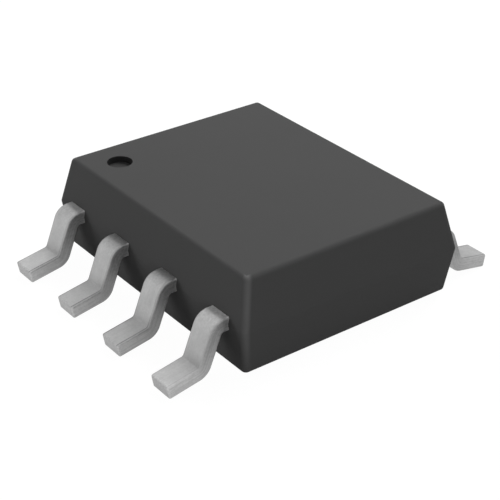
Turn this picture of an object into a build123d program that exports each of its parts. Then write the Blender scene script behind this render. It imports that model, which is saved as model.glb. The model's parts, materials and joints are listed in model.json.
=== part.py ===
from build123d import *
import os
from math import cos, radians, sin

# Comparator chip: a silicon die in a moulded small outline package with eight gull wing leads.
# X runs across the two rows of leads, Y along them and Z up, with the origin at the middle of the
# seating plane, where the toes of the leads touch the board. All sizes are in millimetres.

# Moulded body: two drafted halves that meet in a ridge at the parting plane. A draw is how far the
# draft brings a side or an end in from the ridge
body_width = 3.99
body_length = 4.92
top_side_draw = 0.16
top_end_draw = 0.165
bottom_side_draw = 0.095
bottom_end_draw = 0.10
standoff = 0.095
package_height = 1.59
parting_height = 0.835
corner_radius = 0.085
top_edge_radius = 0.08
bottom_edge_radius = 0.055

# Round indent beside lead 1, and the marks of the ejector pins underneath
indent_radius = 0.20
indent_depth = 0.10
indent_draft_angle = 8
indent_from_side = 0.54
indent_from_end = 0.585
ejector_mark_radius = 0.36
ejector_mark_depth = 0.02
ejector_mark_spacing = 2.40

# Formed part of the leads, outside the body. Bend radii are those of the inside of each bend
leads_per_side = 4
lead_pitch = 1.27
lead_width = 0.415
lead_thickness = 0.215
lead_span = 6.03
shoulder_length = 0.165
foot_length = 0.60
foot_angle = 10.5
shoulder_bend_radius = 0.05
foot_bend_radius = 0.05
lead_edge_bevel = 0.018

# Flat fingers of the leads, inside the body
finger_cover = 0.20
finger_clearance = 0.25
middle_finger_length = 0.45
middle_finger_width = 0.62
corner_finger_width = 0.43
corner_tongue_width = 0.305
corner_tongue_reach = 1.30
corner_wedge_length = 0.95
lock_hole_radius = 0.10
lock_hole_setback = 0.17

# Die paddle with its two downset tie bars. Its width follows from the fingers on both sides
paddle_length = 2.60
paddle_downset = 0.20
paddle_corner_radius = 0.10
tie_bar_width = 0.30
tie_bar_cover = 0.16
tie_bar_bend_radius = 0.03
tie_bar_flat = 0.14

# Silicon die and the layer of epoxy under it
die_width = 1.00
die_length = 1.20
die_thickness = 0.25
attach_thickness = 0.02
attach_margin = 0.07
attach_bevel = 0.01

# Gold bond wires, each with a ball on the die and a flattened stitch on its lead
wire_radius = 0.0125
wire_side_count = 5
ball_radius = 0.035
ball_height = 0.022
loop_rise = 0.16
loop_sag = 0.03
knee_share = 0.55
neck_radius = 0.07
knee_radius = 0.25
stitch_length = 0.09
stitch_width = 0.06
stitch_thickness = 0.014
stitch_flare_angle = 78
pad_inset = 0.08
corner_pad_inset = 0.12
middle_pad_offset = 0.16
middle_stitch_inset = 0.10
corner_stitch_inset = 0.35

# Heights that follow from the stack of the pieces
lead_top = parting_height + lead_thickness / 2
paddle_plane = parting_height - paddle_downset
paddle_top = paddle_plane + lead_thickness / 2
die_bottom = paddle_top + attach_thickness
die_top = die_bottom + die_thickness

# Middle of the indent, from the side and the end of the top face
indent_x = indent_from_side + top_side_draw - body_width / 2
indent_y = body_length / 2 - top_end_draw - indent_from_end

# Centre line of a lead in its side view: X outwards from the middle of the package, Y up.
# The toe is shifted a little so that its bevelled corners reach the seating plane and the span
finger_root = body_width / 2 - finger_cover
paddle_width = 2 * (finger_root - middle_finger_length - finger_clearance)
tilt_sin = sin(radians(foot_angle))
tilt_cos = cos(radians(foot_angle))
toe_shift = lead_edge_bevel * tilt_sin
toe_end = (
    lead_span / 2 + toe_shift - lead_thickness / 2 * tilt_sin,
    lead_thickness / 2 * tilt_cos - toe_shift,
)
heel = (toe_end[0] - foot_length * tilt_cos, toe_end[1] + foot_length * tilt_sin)
lead_path = [
    (finger_root - lead_thickness, parting_height),
    (body_width / 2 + shoulder_length, parting_height),
    heel,
    toe_end,
]
lead_bends = [
    shoulder_bend_radius + lead_thickness / 2,
    foot_bend_radius + lead_thickness / 2,
]

# Where each lead stands: 1 to 4 go down the -X side from +Y, and 5 to 8 come back up the +X side
lead_places = []
for number in range(1, 2 * leads_per_side + 1):
    side = -1 if number <= leads_per_side else 1
    row = number - 1 if side < 0 else 2 * leads_per_side - number
    lead_y = ((leads_per_side - 1) / 2 - row) * lead_pitch
    end = 1 if lead_y > 0 else -1
    is_corner = row in (0, leads_per_side - 1)
    lead_places.append((number, side, lead_y, end, is_corner))


# Outline of a finger in plan: X outwards from the package's middle, Y from the lead's centre line
# towards the nearer end of the package
def middle_finger_outline():
    tip = finger_root - middle_finger_length
    half = middle_finger_width / 2
    return [(tip, -half), (finger_root, -half), (finger_root, half), (tip, half)]


def corner_finger_outline(lead_y):
    half = corner_finger_width / 2
    inner_edge = paddle_length / 2 + finger_clearance - abs(lead_y)
    tip = finger_root - corner_tongue_reach
    return [
        (tip, inner_edge),
        (finger_root - lock_hole_setback - 2 * lock_hole_radius, inner_edge),
        (finger_root, -half),
        (finger_root, half),
        (tip + corner_wedge_length, half),
        (tip, inner_edge + corner_tongue_width),
    ]


# Outline of the body seen along one axis, with its ridge at the parting plane
def body_outline(ridge_size, top_draw, bottom_draw):
    right_half = [
        (ridge_size / 2 - bottom_draw, standoff),
        (ridge_size / 2, parting_height),
        (ridge_size / 2 - top_draw, package_height),
    ]
    return right_half + [(-across, up) for across, up in reversed(right_half)]


def upright_edges(body):
    return body.edges().filter_by(lambda edge: abs((edge % 0.5).Z) > 0.5)


os.makedirs("parts", exist_ok=True)
inner_pieces = []

# Leads: a strip bent along the centre line, with its edges broken, and a flat finger with a hole
# that locks it in the compound
for number, side, lead_y, end, is_corner in lead_places:
    side_plane = Plane(origin=(0, lead_y, 0), x_dir=(side, 0, 0), z_dir=(0, -side, 0))
    finger_plane = Plane(
        origin=(0, lead_y, parting_height), x_dir=(side, 0, 0), z_dir=(0, 0, side * end)
    )
    outline = corner_finger_outline(lead_y) if is_corner else middle_finger_outline()
    with BuildPart() as lead:
        with BuildSketch(side_plane):
            with BuildLine():
                FilletPolyline(lead_path, radius=lead_bends)
            trace(line_width=lead_thickness)
        extrude(amount=lead_width / 2, both=True)
        outwards = lead.faces().sort_by(Axis((0, 0, 0), (side, 0, 0)))
        flanks = lead.faces().filter_by(Axis.Y)
        worn_edges = ShapeList(flanks.edges() + outwards[-1].edges()) - outwards[0].edges()
        chamfer(worn_edges, lead_edge_bevel)
        with BuildSketch(finger_plane):
            with BuildLine():
                Polyline(outline, close=True)
            make_face()
        extrude(amount=lead_thickness / 2, both=True)
        with BuildSketch(finger_plane):
            with Locations((finger_root - lock_hole_setback, 0)):
                Circle(lock_hole_radius)
        extrude(amount=lead_thickness / 2, both=True, mode=Mode.SUBTRACT)
    lead.part.label = f"lead_{number}"
    export_step(lead.part, f"parts/lead_{number}.step")
    inner_pieces.append(lead.part)

# Die paddle: a plate below the plane of the leads, hung from a cranked tie bar at each end
tie_bar_bend = tie_bar_bend_radius + lead_thickness / 2
with BuildPart() as die_paddle:
    with BuildSketch(Plane.XY.offset(paddle_plane)):
        RectangleRounded(paddle_width, paddle_length, paddle_corner_radius)
    extrude(amount=lead_thickness / 2, both=True)
    with BuildSketch(Plane.YZ):
        with BuildLine():
            FilletPolyline(
                (paddle_length / 2 - tie_bar_flat, paddle_plane),
                (paddle_length / 2 + tie_bar_flat, paddle_plane),
                (paddle_length / 2 + tie_bar_flat + paddle_downset, parting_height),
                (body_length / 2 - tie_bar_cover, parting_height),
                radius=[tie_bar_bend, tie_bar_bend],
            )
        trace(line_width=lead_thickness)
        mirror(about=Plane.YZ)
    extrude(amount=tie_bar_width / 2, both=True)
die_paddle.part.label = "die_paddle"
export_step(die_paddle.part, "parts/die_paddle.step")
inner_pieces.append(die_paddle.part)

# Die attach: a thin layer of silver filled epoxy, pressed out a little past the die
with BuildPart() as die_attach:
    with BuildSketch(Plane.XY.offset(paddle_top)):
        Rectangle(die_width + 2 * attach_margin, die_length + 2 * attach_margin)
    extrude(amount=attach_thickness)
    chamfer(die_attach.faces().sort_by(Axis.Z)[-1].edges(), attach_bevel)
die_attach.part.label = "die_attach"
export_step(die_attach.part, "parts/die_attach.step")
inner_pieces.append(die_attach.part)

# Silicon die
with BuildPart() as comparator_die:
    with BuildSketch(Plane.XY.offset(die_bottom)):
        Rectangle(die_width, die_length)
    extrude(amount=die_thickness)
comparator_die.part.label = "comparator_die"
export_step(comparator_die.part, "parts/comparator_die.step")
inner_pieces.append(comparator_die.part)

# Bond wires: up from the ball, over in a loop and down to the stitch, in one upright plane each
for number, side, lead_y, end, is_corner in lead_places:
    pad_y = die_length / 2 - corner_pad_inset if is_corner else middle_pad_offset
    pad = Vector(side * (die_width / 2 - pad_inset), end * pad_y, 0)
    if is_corner:
        tongue_y = paddle_length / 2 + finger_clearance + corner_tongue_width / 2
        stitch_x = finger_root - corner_tongue_reach + corner_stitch_inset
        stitch = Vector(side * stitch_x, end * tongue_y, 0)
    else:
        stitch_x = finger_root - middle_finger_length + middle_stitch_inset
        stitch = Vector(side * stitch_x, lead_y, 0)
    run = stitch - pad
    heading = run.normalized()
    loop_plane = Plane(origin=pad, x_dir=heading, z_dir=heading.cross(Vector(0, 0, 1)))
    with BuildPart() as bond_wire:
        with BuildLine(loop_plane) as loop:
            FilletPolyline(
                (0, die_top + ball_height / 2),
                (0, die_top + loop_rise),
                (run.length * knee_share, die_top + loop_rise - loop_sag),
                (run.length, lead_top + wire_radius),
                radius=[neck_radius, knee_radius],
            )
        with BuildSketch(Plane(origin=loop.line @ 0, x_dir=heading, z_dir=loop.line % 0)):
            RegularPolygon(wire_radius, wire_side_count)
        sweep()
        with BuildSketch(Plane(origin=pad + Vector(0, 0, die_top))):
            Circle(ball_radius)
        extrude(amount=ball_height)
        with BuildSketch(Plane(origin=stitch + Vector(0, 0, lead_top), x_dir=heading)):
            Trapezoid(stitch_width, stitch_length, stitch_flare_angle, rotation=90)
        extrude(amount=stitch_thickness)
    bond_wire.part.label = f"bond_wire_{number}"
    export_step(bond_wire.part, f"parts/bond_wire_{number}.step")
    inner_pieces.append(bond_wire.part)

# Moulded body: the end view crossed with the side view gives the drafted halves and their ridge.
# The compound fills every space around the pieces that it was cast on
with BuildPart() as mold_body:
    with BuildSketch(Plane.XZ):
        with BuildLine():
            Polyline(body_outline(body_width, top_side_draw, bottom_side_draw), close=True)
        make_face()
    extrude(amount=body_length, both=True)
    with BuildSketch(Plane.YZ):
        with BuildLine():
            Polyline(body_outline(body_length, top_end_draw, bottom_end_draw), close=True)
        make_face()
    extrude(amount=body_width, both=True, mode=Mode.INTERSECT)
    fillet(upright_edges(mold_body).group_by(Axis.Z)[-1], corner_radius)
    fillet(upright_edges(mold_body).group_by(Axis.Z)[0], corner_radius)
    fillet(mold_body.faces().sort_by(Axis.Z)[-1].edges(), top_edge_radius)
    fillet(mold_body.faces().sort_by(Axis.Z)[0].edges(), bottom_edge_radius)
    with BuildSketch(Plane.XY.offset(package_height)):
        with Locations((indent_x, indent_y)):
            Circle(indent_radius)
    extrude(amount=-indent_depth, taper=indent_draft_angle, mode=Mode.SUBTRACT)
    with BuildSketch(Plane.XY.offset(standoff)):
        with GridLocations(0, ejector_mark_spacing, 1, 2):
            Circle(ejector_mark_radius)
    extrude(amount=ejector_mark_depth, mode=Mode.SUBTRACT)
    for piece in inner_pieces:
        add(piece, mode=Mode.SUBTRACT)
mold_body.part.label = "mold_body"
export_step(mold_body.part, "parts/mold_body.step")
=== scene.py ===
import json
import math

import bmesh
import bpy
import numpy as np
from mathutils import Matrix, Vector

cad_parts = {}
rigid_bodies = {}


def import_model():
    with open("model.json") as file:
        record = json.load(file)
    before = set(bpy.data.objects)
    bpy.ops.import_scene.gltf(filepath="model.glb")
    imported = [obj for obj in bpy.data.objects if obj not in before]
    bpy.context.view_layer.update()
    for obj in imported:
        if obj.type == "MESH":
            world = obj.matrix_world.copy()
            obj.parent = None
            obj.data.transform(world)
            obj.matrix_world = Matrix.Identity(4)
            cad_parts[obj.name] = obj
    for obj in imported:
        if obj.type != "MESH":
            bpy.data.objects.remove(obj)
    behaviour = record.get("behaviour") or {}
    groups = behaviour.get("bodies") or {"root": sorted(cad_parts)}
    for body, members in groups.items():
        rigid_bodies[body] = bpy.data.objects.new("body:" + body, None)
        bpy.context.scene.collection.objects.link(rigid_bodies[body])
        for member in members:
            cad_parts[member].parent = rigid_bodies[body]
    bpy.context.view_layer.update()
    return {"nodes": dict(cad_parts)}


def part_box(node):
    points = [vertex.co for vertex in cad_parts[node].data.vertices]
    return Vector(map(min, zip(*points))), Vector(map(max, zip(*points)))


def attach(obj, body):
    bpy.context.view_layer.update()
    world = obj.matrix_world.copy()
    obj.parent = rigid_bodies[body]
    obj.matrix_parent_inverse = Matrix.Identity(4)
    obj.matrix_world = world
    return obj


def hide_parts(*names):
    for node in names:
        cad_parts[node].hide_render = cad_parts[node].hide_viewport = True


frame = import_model()
print("frame loaded:", len(frame["nodes"]), "nodes")

# Sizes are in millimetres and angles in degrees. X runs across the two rows of leads, Y along them.
mm = 0.001
hair = 1e-9              # a length, or a turn per length, that counts as none
bodyBox = np.array(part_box("mold_body")) / mm
leadBox = np.array(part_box("lead_5")) / mm


def newObject(name, data):
    # adds an object to the scene
    made = bpy.data.objects.new(name, data)
    bpy.context.scene.collection.objects.link(made)
    return made


# Camera

view = {
    "azimuth": -36.762,     # 0 looks along +Y, 90 along -X
    "elevation": 29.901,
    "lens": 100.01,
    "eye": (-11.2842, -15.0433, 11.1637),
    "nearest": 0.5,
    "farthest": 5000.0,
}


def towards(azimuth, elevation):
    # unit vector from the chip to a lamp or a camera that stands at these angles
    turn, tilt = math.radians(azimuth), math.radians(elevation)
    return Vector((math.sin(turn) * math.cos(tilt), -math.cos(turn) * math.cos(tilt), math.sin(tilt)))


def aimedFrom(place, back):
    # placement at a point with the local Z axis along back and the local X axis level
    right = Vector((0, 0, 1)).cross(back).normalized()
    axes = Matrix((right, back.cross(right), back)).transposed()
    return Matrix.Translation(place) @ axes.to_4x4()


def makeCamera():
    data = bpy.data.cameras.new("camera")
    data.lens = view["lens"]
    data.clip_start = view["nearest"] * mm
    data.clip_end = view["farthest"] * mm
    camera = newObject("camera", data)
    camera.matrix_world = aimedFrom(Vector(view["eye"]) * mm, towards(view["azimuth"], view["elevation"]))
    bpy.context.scene.camera = camera


makeCamera()
print("camera placed")


# Meshes from point grids

weldDistance = 0.00002      # points closer together than this become one


def gridFaces(rows, columns, first):
    # one quad between each two neighbouring rows and columns of a grid whose points start at first
    corner = first + np.arange(rows - 1)[:, None] * columns + np.arange(columns - 1)[None, :]
    around = [corner, corner + 1, corner + 1 + columns, corner + columns]
    return np.stack(around, axis=-1).reshape(-1, 4)


def closedRing(grid):
    # repeats the first column at the end, so that the seam has its own coordinates until it is welded
    return np.concatenate([grid, grid[:, :1]], axis=1)


def weldedPiece(name, grids, maps):
    # joins point grids of rows by columns by 3 into one closed mesh; maps holds named grids of rows by
    # columns by 2 for the first grid, as pattern coordinates
    points, faces = [], []
    first = 0
    for grid in grids:
        rows, columns = grid.shape[:2]
        faces.append(gridFaces(rows, columns, first))
        points.append(grid.reshape(-1, 3))
        first += rows * columns
    mesh = bpy.data.meshes.new(name)
    mesh.from_pydata(np.concatenate(points) * mm, [], np.concatenate(faces).tolist())
    corners = np.zeros(len(mesh.loops), np.int32)
    mesh.loops.foreach_get("vertex_index", corners)
    for mapName, grid in maps.items():
        values = np.ones((first, 2))
        values[: grid.shape[0] * grid.shape[1]] = grid.reshape(-1, 2)
        mesh.uv_layers.new(name=mapName).data.foreach_set("uv", values[corners].ravel())
    work = bmesh.new()
    work.from_mesh(mesh)
    bmesh.ops.remove_doubles(work, verts=work.verts, dist=weldDistance * mm)
    bmesh.ops.recalc_face_normals(work, faces=work.faces)
    work.to_mesh(mesh)
    work.free()
    mesh.shade_smooth()
    return newObject(name, mesh)


def between(first, last, share):
    # slides evenly from one set of points to another, one row for each share
    share = np.asarray(share)[:, None, None]
    return first[None] * (1 - share) + last[None] * share


def swung(first, last, share):
    # turns unit vectors evenly along the great circle from first to last
    opening = np.arccos(np.clip((first * last).sum(-1, keepdims=True), -1, 1))
    return (np.sin((1 - share) * opening) * first + np.sin(share * opening) * last) / np.sin(opening)


# Moulded body

mould = {
    "partingHeight": 0.835,
    "sideDraw": (0.16, 0.095),      # how far the draft brings the sides in, at the top and underneath
    "endDraw": (0.165, 0.10),
    "cornerRadius": 0.085,
    "edgeRadius": (0.08, 0.055),    # round the top face and round the underside
    "ridgeSoftening": 0.006,
    "ridgeSteps": 5,
    "flatMargin": 0.010,            # first row of a flat beside a rounding, which keeps the flat flat
    "wallRows": (0.3, 0.7),         # further rows of a wall, as shares of its height
    "cornerSteps": 12,
    "edgeShift": 3,                 # corner steps from the middle of a corner to the middle of its painted highlight
    "edgeSteps": 10,
    "runSteps": 22,
    "indentRadius": 0.20,
    "indentDepth": 0.10,
    "indentDraft": 8,
    "indentRim": 0.004,
    "indentFillet": 0.015,
    "indentFromSide": 0.54,
    "indentFromEnd": 0.585,
    "markRadius": 0.36,
    "markDepth": 0.02,
    "markRim": 0.006,
    "markSpacing": 2.40,
    "recessSteps": 4,               # round the rim and round the fillet of an indent or a mark
    "recessFloor": 1.4,             # first row of its floor, in fillet radii from its wall
}


def bodyQuarter(half):
    # one corner of the upper half (0) or the lower half (1), seen from outside. The walls are planes
    # at their draft; the upright edge is a cylinder that touches both, and the edge to the flat face
    # is the path of a ball that rolls along inside them. Rows run from the ridge to the flat face.
    up = 1 - 2 * half
    ridgeHeight = mould["partingHeight"]
    faceHeight = bodyBox[1 - half, 2]
    radius, ball = mould["cornerRadius"], mould["edgeRadius"][half]
    reach = abs(faceHeight - ridgeHeight)
    sideTilt = math.atan(mould["sideDraw"][half] / reach)
    endTilt = math.atan(mould["endDraw"][half] / reach)
    sideNormal = np.array([[math.cos(sideTilt), 0, up * math.sin(sideTilt)]])
    endNormal = np.array([[0, math.cos(endTilt), up * math.sin(endTilt)]])
    turn = np.linspace(0, 1, mould["cornerSteps"] + 1)[:, None]
    outward = swung(sideNormal, endNormal, turn)

    def axisAt(height):
        # point at that height on the line that lies one corner radius inside both walls
        rise = up * (height - ridgeHeight)
        across = bodyBox[1, 0] - rise * math.tan(sideTilt) - radius / math.cos(sideTilt)
        along = bodyBox[1, 1] - rise * math.tan(endTilt) - radius / math.cos(endTilt)
        return np.stack([across, along, height], axis=-1)

    ridge = axisAt(ridgeHeight - radius * outward[:, 2]) + radius * outward
    ballHeight = faceHeight - up * ball - (radius - ball) * outward[:, 2]
    centre = axisAt(ballHeight) + (radius - ball) * outward
    soft = mould["ridgeSoftening"] / reach
    margin = mould["flatMargin"] / reach
    rows = [soft, soft + margin, *mould["wallRows"], 1 - margin, 1]
    wall = between(ridge, centre + ball * outward, rows)
    pole = np.array([[0, 0, up]])
    lift = np.linspace(0, 1, mould["edgeSteps"] + 1)[1:]
    edge = np.stack([centre + ball * swung(outward, pole, share) for share in lift])
    return ridge, np.concatenate([wall, edge])


def fullRing(corner):
    # adds the straight runs to a corner's rows and mirrors the quarter round the body, from the
    # middle of the +X side towards +Y
    run = np.append(np.linspace(0, 1 - mould["flatMargin"] / 2, mould["runSteps"]), 1)[:-1]
    side = np.repeat(corner[:, :1], len(run), axis=1)
    side[:, :, 1] *= run
    end = np.repeat(corner[:, -1:], len(run), axis=1)
    end[:, :, 0] *= run[::-1]
    quarter = np.concatenate([side, corner, end], axis=1)
    flips = [(1, 1), (-1, 1), (-1, -1), (1, -1)]
    turned = [quarter * np.array([across, along, 1]) for across, along in flips]
    turned = [rows if index % 2 == 0 else rows[:, ::-1] for index, rows in enumerate(turned)]
    return np.concatenate([rows[:, :-1] for rows in turned], axis=1)


def recess(radius, depth, draft, rim, fillet):
    # rows of radius and depth from the rim of a round recess down its wall and over its floor
    quarter = np.radians(np.linspace(0, 90, mould["recessSteps"] + 1))
    floorRadius = radius - depth * math.tan(math.radians(draft))
    rimRows = [(radius + rim * (1 - math.sin(a)), rim * (1 - math.cos(a))) for a in quarter]
    filletRows = [
        (floorRadius - fillet * (1 - math.cos(a)), depth - fillet * (1 - math.sin(a))) for a in quarter
    ]
    floorRows = [(floorRadius - fillet * mould["recessFloor"], depth), (floorRadius / 2, depth), (0, depth)]
    return rimRows + filletRows + floorRows


def recessedFace(outline, centre, rows, inward):
    # flat face inside an outline with a round recess in it: each column runs from a point of the
    # outline straight to the circle about the centre, and down the recess to the middle of its floor
    ray = outline[:, :2] - centre
    distance = np.hypot(ray[:, 0], ray[:, 1])[:, None]
    unit = ray / distance
    height = outline[:, 2:]

    def ring(reach, depth):
        flat = np.array(centre) + unit * reach
        return np.concatenate([flat, height + inward * depth], axis=1)

    rim = np.full_like(distance, rows[0][0])
    faceRows = [outline, ring(distance - mould["flatMargin"], 0), ring(rim + mould["flatMargin"], 0)]
    return np.stack(faceRows + [ring(np.full_like(distance, radius), depth) for radius, depth in rows])


indentCentre = (
    mould["indentFromSide"] + mould["sideDraw"][0] - bodyBox[1, 0],
    bodyBox[1, 1] - mould["endDraw"][0] - mould["indentFromEnd"],
)


def makeBody():
    upperRidge, upper = bodyQuarter(0)
    lowerRidge, lower = bodyQuarter(1)
    middle = (upperRidge + lowerRidge) / 2
    share = np.linspace(0, 1, mould["ridgeSteps"] + 1)[1:-1, None, None]
    ridge = (1 - share) ** 2 * lower[0] + 2 * share * (1 - share) * middle + share**2 * upper[0]
    walls = fullRing(np.concatenate([lower[::-1], ridge, upper]))
    top, bottom = walls[-1], walls[0]

    indentRows = recess(
        mould["indentRadius"],
        mould["indentDepth"],
        mould["indentDraft"],
        mould["indentRim"],
        mould["indentFillet"],
    )
    grids = [walls, recessedFace(top, indentCentre, indentRows, -1)]

    # the underside is cut along the X axis into two faces, each with a mark
    markRows = recess(mould["markRadius"], mould["markDepth"], 0, mould["markRim"], mould["markRim"])
    middleRun = np.linspace(-1, 1, 2 * mould["runSteps"])[1:-1, None] * bottom[:1] * (1, 0, 0)
    middleRun[:, 2] = bottom[0, 2]
    for end in (1, -1):
        outline = bottom[end * bottom[:, 1] > -hair]
        order = np.argsort(np.arctan2(end * outline[:, 1], outline[:, 0]))
        outline = np.concatenate([outline[order], middleRun])
        grids.append(recessedFace(outline, (0, end * mould["markSpacing"] / 2), markRows, 1))

    # pattern coordinates of the walls: distance from the nearest upright edge of the pin 1 side, and
    # height over the ridge, which place the painted highlight on those edges
    quarterColumns = walls.shape[1] // 4
    corner = quarterColumns + mould["runSteps"] + mould["cornerSteps"] // 2
    edges = walls[:, [corner - mould["edgeShift"], corner + quarterColumns + mould["edgeShift"]]]
    offset = np.linalg.norm(walls[:, :, None] - edges[:, None], axis=-1).min(axis=2)
    edgeMap = np.stack([offset, walls[..., 2] - mould["partingHeight"]], axis=-1)
    return weldedPiece("moulded_body", [closedRing(grid) for grid in grids], {"edge": closedRing(edgeMap)})


bodyPiece = makeBody()
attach(bodyPiece, "root")
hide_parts("mold_body")
print("moulded body:", len(bodyPiece.data.polygons), "faces")


# Leads

strip = {
    "perSide": 4,
    "pitch": 1.27,
    "width": 0.415,
    "thickness": 0.215,
    "shoulder": 0.165,          # from the body to the corner point of the shoulder bend
    "footLength": 0.60,
    "footAngle": 10.5,
    "bendRadii": (0.1575, 0.1575),      # of the middle line, at the shoulder and at the heel
    "edgeRadius": 0.030,
    "leastRadius": 0.0001,      # of the edges at the toe, where its own rounding takes their place
    "flatMargin": 0.008,
    "bendMargin": 0.02,         # from a bend to the next station of the straight run beside it
    "toeMargin": 0.01,
    "runStations": 4,
    "edgeSteps": 6,
    "bendSteps": 12,
    "patternStep": 7.3,         # slides the pattern from lead to lead, so that no two look the same
}

finger = {
    "cover": 0.20,              # from the body's side in to the root, where the strip begins
    "middleLength": 0.45,
    "middleWidth": 0.62,
    "cornerWidth": 0.43,
    "cornerReach": 1.30,        # from the root to the tip
    "cornerWedge": 0.95,
    "tongueWidth": 0.305,
    "tongueGap": 1.55,          # from the middle of the chip to the tongues, along the rows
    "edgeRadius": 0.005,
    "holeRadius": 0.10,
    "holeSetback": 0.17,
}


# How much paler or darker the plating is painted than its plain shade, as painted shade and light. The
# names that end in At hold distances from the toe along the strip. The sides are painted darker, as shade,
# and darkest in the gaps between the leads.
plating = {
    "topAt": (0, 0.03, 0.42, 0.60, 0.80, 1.22, 1.35, 1.43),
    "top": (0.92, 1.05, 0.95, 0.70, 0.95, 1.00, 0.92, 1.50),        # darker at the toe, painted shade in both creases and painted light next to the body
    "sideAt": (0, 0.03, 0.30, 0.60, 1.00, 1.35),
    # painted shade on the sides, deepest where a side faces the next lead
    "paintedGapSide": (1.05, 0.83, 0.69, 0.55, 0.57, 0.62),
    "paintedOpenSide": (1.05, 0.90, 0.86, 0.78, 0.60, 0.70),
    "sideShare": 0.8,           # how far a side follows the tone of its lead's foot
    # painted shade on the underside
    "under": 0.85,
    # one gain for each lead's foot and shoulder: on the -X side the corner leads, which stand in the open,
    # are painted paler and the middle ones darker, as painted light and shade
    "footTone": (1.15, 1.03, 1.03, 1.25, 1.00, 1.05, 1.10, 1.05),   # one for each lead
    "shoulderTone": (1.00, 0.75, 0.75, 1.25, 1.00, 0.90, 1.05, 1.00),
    # the foot has its tone from the second of these to the third, and the shoulder from the last
    "toneAt": (0, 0.03, 0.50, 0.62, 1.21, 1.31),
    "paintedEdgeHighlight": 0.04,             # painted highlight: how much paler the middle of a rounded edge is
    "shearLine": (0.9, 0.8, 1.0, 0.2, 1.0, 0.9, 0.7, 0.4),
    "lineAt": (0.45, 0.80),     # where the line beside the shear begins to fade and has faded
    "lineLeft": 0.25,
}


def paintedLightAndShearLine(number, isCorner, reach, loops, halfWidth):
    # for each point of a lead: the gain of its shade, which holds painted shade and light, and the depth of
    # the line beside the shear. The side's gain takes over from that of the top or the underside round the
    # strip's edge.
    order = number - 1
    foot, shoulder = plating["footTone"][order], plating["shoulderTone"][order]
    tone = np.interp(reach, plating["toneAt"], (1, foot, foot, 1, 1, shoulder))
    top = (np.interp(reach, plating["topAt"], plating["top"]) * tone)[:, None]
    gap = np.interp(reach, plating["sideAt"], plating["paintedGapSide"])[:, None]
    paintedOpenSide = np.interp(reach, plating["sideAt"], plating["paintedOpenSide"])[:, None]
    across, up = loops[..., 0], loops[..., 1]
    flat = np.where(up > 0, top, plating["under"])
    footSide = np.interp(reach, plating["toneAt"][1:4], (foot, foot, 1))[:, None]
    side = np.where(isCorner & (across > 0), paintedOpenSide, gap) * (1 + plating["sideShare"] * (footSide - 1))
    share = np.clip((np.abs(across) - halfWidth) / strip["edgeRadius"] + 1, 0, 1)
    # the side's gain, with a painted highlight along the middle of each rounded edge
    gain = flat + (side - flat) * share + plating["paintedEdgeHighlight"] * 4 * share * (1 - share)
    fading = np.interp(reach, plating["lineAt"], (1, plating["lineLeft"]))[:, None]
    line = plating["shearLine"][order] * fading
    return np.stack([gain, line * np.ones_like(across)], axis=-1)


def bentLine(corners, radii):
    # straight runs joined by arcs, as knots: the heading is constant along a run and turns evenly
    # along an arc. Gives the distance, heading and place of each knot.
    corners, radii = np.array(corners), np.array(radii)
    step = np.diff(corners, axis=0)
    heading = np.arctan2(step[:, 1], step[:, 0])
    turn = np.diff(heading)
    setback = radii * np.tan(np.abs(turn) / 2)
    run = np.hypot(step[:, 0], step[:, 1])
    run[:-1] -= setback
    run[1:] -= setback
    lengths = np.zeros(2 * len(run) - 1)
    lengths[0::2] = run
    lengths[1::2] = radii * np.abs(turn)
    distance = np.concatenate([[0], np.cumsum(lengths)])
    headings = np.repeat(heading, 2)
    unit = np.stack([np.cos(heading), np.sin(heading)], axis=1)
    places = np.zeros((len(distance), 2))
    places[1:-1:2] = corners[1:-1] - unit[:-1] * setback[:, None]
    places[2:-1:2] = corners[1:-1] + unit[1:] * setback[:, None]
    places[0], places[-1] = corners[0], corners[-1]
    return distance, headings, places


def alongLine(line, distance):
    # place and heading at any distance: a straight step from the knot before it, or a step round the
    # arc, whose chord follows from the sines and cosines of the two headings
    knots, headings, places = line
    index = np.clip(np.searchsorted(knots, distance, side="right") - 1, 0, len(knots) - 2)
    step = distance - knots[index]
    bend = (headings[index + 1] - headings[index]) / (knots[index + 1] - knots[index])
    start = headings[index]
    heading = start + bend * step
    straight = np.abs(bend) < hair
    safe = np.where(straight, 1, bend)
    across = np.where(straight, step * np.cos(start), (np.sin(heading) - np.sin(start)) / safe)
    up = np.where(straight, step * np.sin(start), (np.cos(start) - np.cos(heading)) / safe)
    return places[index, 0] + across, places[index, 1] + up, heading


def sectionPattern():
    # points round a rectangle with rounded corners: the sign of the corner that each belongs to, its
    # place on the unit arc of that corner, and whether it is the margin point beside the arc
    signs, arcs, margins = [], [], []
    for across, up, start in ((1, 1, 0), (-1, 1, 90), (-1, -1, 180), (1, -1, 270)):
        angles = np.radians(np.linspace(start, start + 90, strip["edgeSteps"] + 1))
        circle = np.stack([np.cos(angles), np.sin(angles)], axis=1)
        upright = abs(round(circle[0, 0]))
        arcs += [circle[:1], circle, circle[-1:]]
        signs += [[(across, up)] * (len(circle) + 2)]
        margins += [[(1 - upright, upright)], [(0, 0)] * len(circle), [(upright, 1 - upright)]]
    return [np.concatenate(part) for part in (signs, arcs, margins)]


def sections(low, high, halfThickness, radius):
    # one rounded rectangle for each station, from arrays of its edges, half thickness and corner radius
    signs, arcs, margins = sectionPattern()
    half = np.stack([(high - low) / 2, halfThickness], axis=1)[:, None, :]
    middle = np.stack([(high + low) / 2, np.zeros_like(low)], axis=1)[:, None, :]
    radius = radius[:, None, None]
    inset = np.minimum(strip["flatMargin"], half - radius)
    return middle + signs * (half - radius - margins * inset) + radius * arcs


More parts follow.
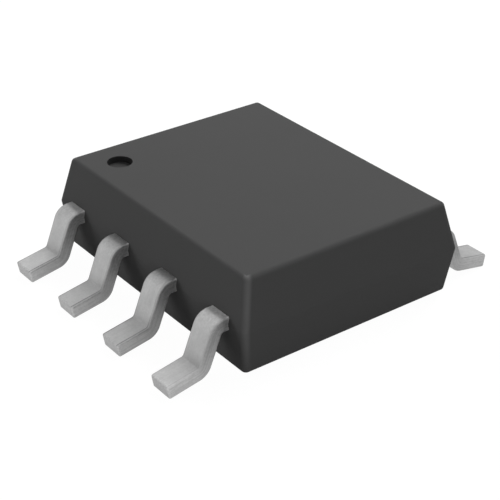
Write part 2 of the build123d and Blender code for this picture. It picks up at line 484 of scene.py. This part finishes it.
def makeLead(number, side, leadY, end, isCorner):
    # side is the sign of X, and end the sign that turns the outline of the finger along Y
    halfWidth, halfThickness = strip["width"] / 2, strip["thickness"] / 2
    root = bodyBox[1, 0] - finger["cover"]
    tilt = math.radians(strip["footAngle"])
    radius = strip["edgeRadius"]
    core = halfThickness - radius

    # the toe stands so that its rounded edges reach the seating plane and the full span
    toe = (
        leadBox[1, 0] - radius + radius * math.cos(tilt) - core * math.sin(tilt),
        radius - radius * math.sin(tilt) + core * math.cos(tilt),
    )
    heel = (toe[0] - strip["footLength"] * math.cos(tilt), toe[1] + strip["footLength"] * math.sin(tilt))
    tip = root - (finger["cornerReach"] if isCorner else finger["middleLength"])
    level = mould["partingHeight"]
    shoulder = bodyBox[1, 0] + strip["shoulder"]
    line = bentLine([(tip, level), (shoulder, level), heel, toe], strip["bendRadii"])

    # outline of the finger, as breaks of its two edges along the lead
    if isCorner:
        inner = finger["tongueGap"] - abs(leadY)
        half = finger["cornerWidth"] / 2
        holeEdge = root - finger["holeSetback"] - 2 * finger["holeRadius"]
        breaks = np.array([0, finger["cornerWedge"], holeEdge - tip, root - tip])
        low = np.interp(breaks, [0, holeEdge - tip, root - tip], [inner, inner, -half])
        high = np.interp(breaks, [0, finger["cornerWedge"]], [inner + finger["tongueWidth"], half])
    else:
        breaks = np.array([0, root - tip])
        low = np.full(2, -finger["middleWidth"] / 2)
        high = -low

    # stations of the strip: a few along the straight runs, close together round the bends and the toe
    knots = line[0]
    margin, few, many = strip["bendMargin"], strip["runStations"], strip["bendSteps"] + 1
    stations = np.concatenate([
        [root - tip, knots[1] - margin],
        np.linspace(knots[1], knots[2], many),
        np.linspace(knots[2] + margin, knots[3] - margin, few),
        np.linspace(knots[3], knots[4], many),
        np.linspace(knots[4] + margin, knots[5] - radius - strip["toeMargin"], few),
    ])
    swing = np.radians(np.linspace(0, 90, strip["edgeSteps"] + 1))
    toeStations = knots[5] - radius + radius * np.sin(swing)
    toeInset = radius - radius * np.cos(swing)

    plain = np.zeros_like(stations)
    distance = np.concatenate([breaks[:1], breaks, stations, toeStations, toeStations[-1:]])
    inset = np.concatenate([plain, toeInset, [radius + strip["flatMargin"]]])
    stripLow, stripHigh = -halfWidth + inset, halfWidth - inset
    stripRadius = np.maximum(radius - inset, strip["leastRadius"])
    fingerHalf = np.append(halfThickness - strip["flatMargin"], np.full(len(breaks), halfThickness))
    fingerLow = np.append(low[0] + strip["flatMargin"], low)
    fingerHigh = np.append(high[0] - strip["flatMargin"], high)
    loops = sections(
        np.concatenate([fingerLow, stripLow]),
        np.concatenate([fingerHigh, stripHigh]),
        np.concatenate([fingerHalf, halfThickness - inset]),
        np.concatenate([np.full(len(breaks) + 1, finger["edgeRadius"]), stripRadius]),
    )
    loops = closedRing(loops)

    # both ends close on the middle of their last section
    middles = loops.mean(axis=1, keepdims=True) * np.ones((1, loops.shape[1], 1))
    loops = np.concatenate([middles[:1], loops, middles[-1:]])
    distance = np.concatenate([distance[:1], distance, distance[-1:]])

    x, z, heading = alongLine(line, distance)
    across, up = loops[..., 0], loops[..., 1]
    points = np.stack(
        [
            side * (x[:, None] - up * np.sin(heading)[:, None]),
            leadY + end * across,
            z[:, None] + up * np.cos(heading)[:, None],
        ],
        axis=-1,
    )
    step = np.diff(loops, axis=1, prepend=loops[:, :1])
    around = np.cumsum(np.hypot(step[..., 0], step[..., 1]), axis=1)
    lengthwise = np.broadcast_to(distance[:, None], around.shape)
    maps = {
        "strip": np.stack([lengthwise + number * strip["patternStep"], around], axis=-1),
        "section": loops / np.array([halfWidth, halfThickness]),
        "tone": paintedLightAndShearLine(number, isCorner, distance[-1] - distance, loops, halfWidth),
    }
    return weldedPiece(f"gull_wing_lead_{number}", [points], maps)


# leads 1 to 4 stand on the -X side from +Y to -Y, and leads 5 to 8 on the +X side back to +Y
leadPieces = []
for number in range(1, 2 * strip["perSide"] + 1):
    side = -1 if number <= strip["perSide"] else 1
    row = number - 1 if side < 0 else 2 * strip["perSide"] - number
    leadY = ((strip["perSide"] - 1) / 2 - row) * strip["pitch"]
    piece = makeLead(number, side, leadY, 1 if leadY > 0 else -1, row in (0, strip["perSide"] - 1))
    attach(piece, "root")
    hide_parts(f"lead_{number}")
    leadPieces.append(piece)
print("leads:", len(leadPieces), "with", len(leadPieces[0].data.polygons), "faces each")


# Finishes

noiseMiddle = 0.5           # the value about which a noise goes up and down


class Wire:
    # one output socket; arithmetic on it adds Math nodes to its node tree
    def __init__(self, finish, socket):
        self.finish = finish
        self.socket = socket

    def maths(self, operation, first, second):
        return self.finish.node("ShaderNodeMath", {"operation": operation}, {0: first, 1: second})

    def __add__(self, other):
        return self.maths("ADD", self, other)

    def __radd__(self, other):
        return self.maths("ADD", other, self)

    def __sub__(self, other):
        return self.maths("SUBTRACT", self, other)

    def __rsub__(self, other):
        return self.maths("SUBTRACT", other, self)

    def __mul__(self, other):
        return self.maths("MULTIPLY", self, other)

    def __rmul__(self, other):
        return self.maths("MULTIPLY", other, self)

    def __gt__(self, other):
        return self.maths("GREATER_THAN", self, other)

    def __lt__(self, other):
        return self.maths("LESS_THAN", self, other)


class Finish:
    # the node tree of a material or of the world
    def __init__(self, owner):
        owner.use_nodes = True
        self.owner = owner
        self.tree = owner.node_tree
        self.tree.nodes.clear()

    def node(self, kind, settings=None, sockets=None, output=0):
        # adds a node of that kind: settings first, then the values or links of its sockets
        made = self.tree.nodes.new(kind)
        for key, value in (settings or {}).items():
            if key == "stops":
                for element, (place, shade) in zip(made.color_ramp.elements, value):
                    element.position = place
                    element.color = (*shade, 1)
            else:
                setattr(made, key, value)
        for key, value in (sockets or {}).items():
            if isinstance(value, Wire):
                self.tree.links.new(value.socket, made.inputs[key])
            else:
                made.inputs[key].default_value = value
        return Wire(self, made.outputs[output]) if len(made.outputs) else made

    def outputs(self, kind, names, sockets=None):
        # adds a node and gives all the outputs with these names
        made = self.node(kind, None, sockets).socket.node
        return [Wire(self, made.outputs[name]) for name in names]

    def place(self, scale, mapName=None):
        # coordinates on the piece, in millimetres, times a scale for each axis
        if mapName:
            source = self.node("ShaderNodeUVMap", {"uv_map": mapName})
            perUnit = 1
        else:
            source = self.node("ShaderNodeTexCoord", output="Object")
            perUnit = 1 / mm
        scales = [one * perUnit for one in scale]
        return self.node("ShaderNodeMapping", None, {"Vector": source, "Scale": scales})

    def pair(self, mapName):
        # the two coordinates of one of the piece's own maps
        source = self.node("ShaderNodeUVMap", {"uv_map": mapName})
        return self.outputs("ShaderNodeSeparateXYZ", "XY", {"Vector": source})

    def spot(self):
        # the three coordinates of a point on the piece, in millimetres
        return self.outputs("ShaderNodeSeparateXYZ", "XYZ", {"Vector": self.place([1, 1, 1])})

    def noise(self, where, detail=3, roughness=0.5):
        sockets = {"Vector": where, "Scale": 1, "Detail": detail, "Roughness": roughness}
        return self.node("ShaderNodeTexNoise", None, sockets)

    def scaled(self, colour, gain):
        return self.node("ShaderNodeVectorMath", {"operation": "SCALE"}, {0: colour, "Scale": gain})

    def ramp(self, factor, ends, shades):
        # runs from the first shade to the second as the factor goes from one end to the other
        return self.node("ShaderNodeValToRGB", {"stops": zip(ends, shades)}, {"Fac": factor})

    def fade(self, value, first, last):
        # 0 at first and short of it, 1 at last and past it, smooth in between; either may be larger
        sockets = {"Value": value, "From Min": first, "From Max": last}
        return self.node("ShaderNodeMapRange", {"interpolation_type": "SMOOTHSTEP"}, sockets)

    def bump(self, height, strength, distance):
        sockets = {"Height": height, "Strength": strength, "Distance": distance * mm}
        return self.node("ShaderNodeBump", None, sockets)

    def surface(self, sockets):
        # ends a material's tree and gives the material
        shader = self.node("ShaderNodeBsdfPrincipled", None, sockets)
        self.node("ShaderNodeOutputMaterial", None, {"Surface": shader})
        return self.owner


def newFinish(name):
    return Finish(bpy.data.materials.new(name))


def grey(value):
    return (value, value, value)


compound = {
    "shades": (0.087, 0.091),       # darkest and lightest grey of the filled epoxy
    "shadeEnds": (0.25, 0.75),      # values of the pattern at which they are reached
    "roughness": (0.56, 0.66),
    "specular": 0.025,
    "grainSize": 0.030,
    "grainShare": 0.35,
    "grainRelief": 0.0016,
    "bumpStrength": 0.35,
    "cloudSize": 1.6,
    "cloudShare": 0.65,
    "paintedHighlightWidth": 0.085,             # half width of the painted highlight on an upright edge
    "paintedHighlightLift": 0.80,               # how much lighter the painted highlight is at its middle
    "paintedHighlightHeights": (-1.1, 0.4),     # over the ridge: none of the painted highlight at the first, all of it at the second
    "paintedFloorShade": 0.24,              # painted shade in the indent: how much darker it is on its floor and on its wall
    "paintedWallShade": 0.72,
    "wallFrom": 0.002,              # height over its floor at which the painted shade of its wall begins
    "wallWhole": 0.6,               # and at which it is whole, in fillet radii
}


def makeCompound():
    # black epoxy with a fine silica filler, off the spark eroded face of a mould. Its upright edges on the
    # pin 1 side carry a painted highlight, strongest above the ridge.
    finish = newFinish("moulding_compound")
    grain = finish.noise(finish.place([1 / compound["grainSize"]] * 3), detail=2, roughness=0.6)
    clouds = finish.noise(finish.place([1 / compound["cloudSize"]] * 3), detail=4)
    mix = grain * compound["grainShare"] + clouds * compound["cloudShare"]
    shade = finish.ramp(mix, compound["shadeEnds"], map(grey, compound["shades"]))
    # painted highlight: a paler band along the upright edges of the pin 1 side
    offset, height = finish.pair("edge")
    paintedEdgeHighlight = finish.fade(offset, compound["paintedHighlightWidth"], 0) * finish.fade(height, *compound["paintedHighlightHeights"])

    # painted shade in the indent, off the smooth end of a pin: darker than the face, and darkest on its
    # wall
    across, along, level = finish.spot()
    across, along = across - indentCentre[0], along - indentCentre[1]
    inside = across * across + along * along < (mould["indentRadius"] + mould["indentRim"]) ** 2
    floor = bodyBox[1, 2] - mould["indentDepth"]
    wallTop = floor + mould["indentFillet"] * compound["wallWhole"]
    wallShare = finish.fade(level, floor + compound["wallFrom"], wallTop)
    paintedShade = inside * (compound["paintedFloorShade"] + wallShare * (compound["paintedWallShade"] - compound["paintedFloorShade"]))
    paintedShade = paintedShade * finish.fade(level, bodyBox[1, 2], bodyBox[1, 2] - mould["indentRim"])
    smooth, rough = compound["roughness"]
    return finish.surface({
        "Base Color": finish.scaled(shade, (1 + paintedEdgeHighlight * compound["paintedHighlightLift"]) * (1 - paintedShade)),
        "Roughness": smooth + grain * (rough - smooth),
        "Specular IOR Level": compound["specular"],
        "Normal": finish.bump(grain, compound["bumpStrength"], compound["grainRelief"]),
    })


tin = {
    "shades": (0.40, 0.51),
    "shadeEnds": (0.3, 0.7),
    "roughness": (0.46, 0.56),
    "metallic": 0.90,
    "streakLength": 0.9,
    "streakWidth": 0.022,
    "crystalSize": 0.035,
    "cloudSize": 0.2,
    "crystalShare": 0.45,
    "cloudShare": 0.55,
    "streakShare": 0.25,
    "sideStreaks": 1.2,         # further share of the streaks on the sheared sides
    "sideCrystals": 0.4,        # further share of the crystals there, at the root and at the toe
    "rootCrystals": 0.9,
    "toeCrystals": 0.8,
    "sideFade": (0.80, 0.97),   # where the side begins and is whole, as squared shares of the half width
    "rootFade": (2.35, 2.1),    # distances from the middle of the chip
    "toeFade": (2.96, 2.99),
    "relief": 0.0022,
    "streakRelief": 0.6,
    "crystalRelief": 0.4,
    "bumpStrength": 0.3,
    "lineAt": 0.87,             # share of the half width at which the line beside the shear runs
    "lineWidth": 0.07,
    "lineDepth": 0.72,
    "lineHeights": (0.8, 0.98),     # shares of the half thickness, so that it shows on the top alone
    "lineBreaks": (0.2, 0.5),       # values of the streaks between which the line breaks off
}


def makeTin():
    # matt tin over copper alloy: fine crystals, faint streaks along the strip from rolling and forming,
    # stronger on the sheared sides, and the dark line that the punch leaves just inside the edges
    finish = newFinish("matt_tin_plate")
    streakScale = [1 / tin["streakLength"], 1 / tin["streakWidth"], 1]
    streaks = finish.noise(finish.place(streakScale, "strip"), detail=2)
    crystals = finish.noise(finish.place([1 / tin["crystalSize"]] * 3), roughness=0.6)
    clouds = finish.noise(finish.place([1 / tin["cloudSize"]] * 3))
    wide, high = finish.pair("section")
    # gain carries the painted shade and light of each point, and line the depth of the line beside the
    # shear
    gain, line = finish.pair("tone")
    sheared = finish.fade(wide * wide, *tin["sideFade"])
    across = finish.spot()[0]
    root = finish.fade(across * across, *[reach**2 for reach in tin["rootFade"]])
    toe = finish.fade(across * across, *[reach**2 for reach in tin["toeFade"]])
    coarseness = root * tin["rootCrystals"] + sheared * tin["sideCrystals"] + toe * tin["toeCrystals"]
    coarse = (crystals - noiseMiddle) * coarseness
    streaky = (streaks - noiseMiddle) * (sheared * tin["sideStreaks"] + tin["streakShare"])
    mix = crystals * tin["crystalShare"] + clouds * tin["cloudShare"] + streaky + coarse
    shade = finish.ramp(mix, tin["shadeEnds"], map(grey, tin["shades"]))
    inner, outer = (tin["lineAt"] - tin["lineWidth"]) ** 2, (tin["lineAt"] + tin["lineWidth"]) ** 2
    middle = tin["lineAt"] ** 2
    groove = finish.fade(wide * wide, inner, middle) * finish.fade(wide * wide, outer, middle)
    groove = groove * finish.fade(high, *tin["lineHeights"]) * line
    groove = groove * finish.fade(streaks, *tin["lineBreaks"])
    smooth, rough = tin["roughness"]
    relief = streaks * tin["streakRelief"] + crystals * tin["crystalRelief"]
    return finish.surface({
        "Base Color": finish.scaled(shade, gain * (1 - groove * tin["lineDepth"])),
        "Metallic": tin["metallic"],
        "Roughness": smooth + mix * (rough - smooth),
        "Normal": finish.bump(relief, tin["bumpStrength"], tin["relief"]),
    })


copper = {"shades": ((0.55, 0.27, 0.17), (0.72, 0.40, 0.27)), "roughness": 0.32, "grainSize": 0.05}
gold = {"shades": ((0.86, 0.60, 0.22), (1.0, 0.76, 0.34)), "roughness": 0.18, "grainSize": 0.02}

metalGrain = {
    "stretch": 0.2,             # scale along Y beside that along X and Z
    "shadeEnds": (0.3, 0.7),
    "roughnessSpan": 0.15,
    "relief": 0.001,
    "bumpStrength": 0.2,
}


def makeMetal(name, metal):
    # drawn or stamped metal with a fine stretched grain
    finish = newFinish(name)
    size = metal["grainSize"]
    grain = finish.noise(finish.place([1 / size, metalGrain["stretch"] / size, 1 / size]))
    return finish.surface({
        "Base Color": finish.ramp(grain, metalGrain["shadeEnds"], metal["shades"]),
        "Metallic": 1,
        "Roughness": metal["roughness"] + grain * metalGrain["roughnessSpan"],
        "Normal": finish.bump(grain, metalGrain["bumpStrength"], metalGrain["relief"]),
    })


silverEpoxy = {
    "flakesPerMm": 60,
    "shades": (0.42, 0.68),
    "shadeEnds": (0.2, 0.8),
    "metallic": 0.2,            # least, and how much more the palest flakes have
    "metallicSpan": 0.6,
    "roughness": 0.35,
    "roughnessSpan": 0.2,
}


def makeSilverEpoxy():
    # silver flakes in a pale binder
    finish = newFinish("silver_epoxy")
    sockets = {"Vector": finish.place([silverEpoxy["flakesPerMm"]] * 3), "Scale": 1}
    flakes = finish.node("ShaderNodeTexVoronoi", None, sockets, output="Color")
    level = finish.node("ShaderNodeRGBToBW", None, {"Color": flakes})
    return finish.surface({
        "Base Color": finish.ramp(level, silverEpoxy["shadeEnds"], map(grey, silverEpoxy["shades"])),
        "Metallic": level * silverEpoxy["metallicSpan"] + silverEpoxy["metallic"],
        "Roughness": silverEpoxy["roughness"] + level * silverEpoxy["roughnessSpan"],
    })


silicon = {
    "rowsPerMm": 9,
    "darkCell": (0.10, 0.12, 0.16, 1),
    "paleCell": (0.20, 0.22, 0.24, 1),
    "track": (0.42, 0.40, 0.36, 1),
    "trackWidth": 0.06,
    "rowShift": 0.35,
    "metallic": 0.4,
    "roughness": 0.12,
    "roughnessSpan": 0.3,
}


def makeSilicon():
    # polished silicon with rows of fine metal tracks under glass
    finish = newFinish("silicon_die")
    sockets = {
        "Vector": finish.place([silicon["rowsPerMm"]] * 3),
        "Color1": silicon["darkCell"],
        "Color2": silicon["paleCell"],
        "Mortar": silicon["track"],
        "Scale": 1,
        "Mortar Size": silicon["trackWidth"],
    }
    tracks = finish.node("ShaderNodeTexBrick", {"offset": silicon["rowShift"]}, sockets)
    level = finish.node("ShaderNodeRGBToBW", None, {"Color": tracks})
    return finish.surface({
        "Base Color": tracks,
        "Metallic": silicon["metallic"],
        "Roughness": silicon["roughness"] + level * silicon["roughnessSpan"],
    })


compoundFinish = makeCompound()
tinFinish = makeTin()
copperFinish = makeMetal("paddle_copper_alloy", copper)
goldFinish = makeMetal("bond_gold", gold)
silverFinish = makeSilverEpoxy()
siliconFinish = makeSilicon()

bodyPiece.data.materials.append(compoundFinish)
for piece in leadPieces:
    piece.data.materials.append(tinFinish)


def dressNode(name, material):
    # gives a solid of the frame its material
    node = frame["nodes"][name]
    if not node.material_slots:
        node.data.materials.append(material)
    for slot in node.material_slots:
        slot.material = material


dressNode("die_paddle", copperFinish)
dressNode("die_attach", silverFinish)
dressNode("comparator_die", siliconFinish)
for number in range(1, 2 * strip["perSide"] + 1):
    dressNode(f"bond_wire_{number}", goldFinish)
print("finishes made")


# Floor, world and lamps

studio = {
    "floorSize": 1200.0,
    "floorColour": 0.32,
    "floorShow": 0.80,          # how much of the white shows over the lit floor, for the camera
    "floorWhite": 1.22,         # strength of that white
    "distance": 60.0,
    "lamps": [
        {"name": "softbox_key", "azimuth": 120, "elevation": 45, "size": 40, "level": 0.72},
        {"name": "softbox_right", "azimuth": 90, "elevation": 45, "size": 40, "level": 0.34},
        {"name": "softbox_left", "azimuth": -135, "elevation": 10, "size": 40, "level": 0.49},
        {"name": "softbox_front", "azimuth": -20, "elevation": 10, "size": 40, "level": 0.40},
        {"name": "softbox_top", "azimuth": -90, "elevation": 60, "size": 40, "level": 0.11},
    ],
}


def seenRays(finish):
    # 1 for rays from the camera, a glossy surface or a clear one, and 0 for the light itself, also where
    # it has passed by way of the metal. The node gives whole numbers, so 0.5 parts none from one.
    names = ("Is Camera Ray", "Is Glossy Ray", "Is Transmission Ray", "Diffuse Depth")
    camera, glossy, clear, scattered = finish.outputs("ShaderNodeLightPath", names)
    return (camera + glossy + clear > 0.5) * (scattered < 0.5)


def makeFloor():
    finish = newFinish("pale_floor")
    seen = seenRays(finish)
    lit = finish.node("ShaderNodeBsdfDiffuse", None, {"Color": (*grey(studio["floorColour"]), 1)})
    sockets = {"Color": (1, 1, 1, 1), "Strength": studio["floorWhite"]}
    white = finish.node("ShaderNodeEmission", None, sockets)
    shader = finish.node("ShaderNodeMixShader", None, {0: seen * studio["floorShow"], 1: lit, 2: white})
    finish.node("ShaderNodeOutputMaterial", None, {"Surface": shader})
    half = studio["floorSize"] / 2 * mm
    corners = [(-half, -half, 0), (half, -half, 0), (half, half, 0), (-half, half, 0)]
    mesh = bpy.data.meshes.new("floor")
    mesh.from_pydata(corners, [], [(0, 1, 2, 3)])
    mesh.materials.append(finish.owner)
    floor = newObject("floor", mesh)


def makeWorld():
    world = bpy.data.worlds.new("studio")
    finish = Finish(world)
    light = finish.node("ShaderNodeBackground", None, {"Color": (1, 1, 1, 1), "Strength": seenRays(finish)})
    finish.node("ShaderNodeOutputWorld", None, {"Surface": light})
    bpy.context.scene.world = world


def makeLamp(lamp):
    # a square softbox; a white surface that faces it shows the lamp's level. The matt metal mirrors
    # only the white surroundings.
    data = bpy.data.lights.new(lamp["name"], "AREA")
    data.shape = "SQUARE"
    data.size = lamp["size"] * mm
    data.energy = lamp["level"] * (math.pi * studio["distance"] * mm) ** 2
    holder = newObject(lamp["name"], data)
    holder.visible_glossy = False
    back = towards(lamp["azimuth"], lamp["elevation"])
    holder.matrix_world = aimedFrom(back * studio["distance"] * mm, back)


makeFloor()
makeWorld()
for lamp in studio["lamps"]:
    makeLamp(lamp)
bpy.context.scene.view_settings.view_transform = "Standard"
print("studio lit")
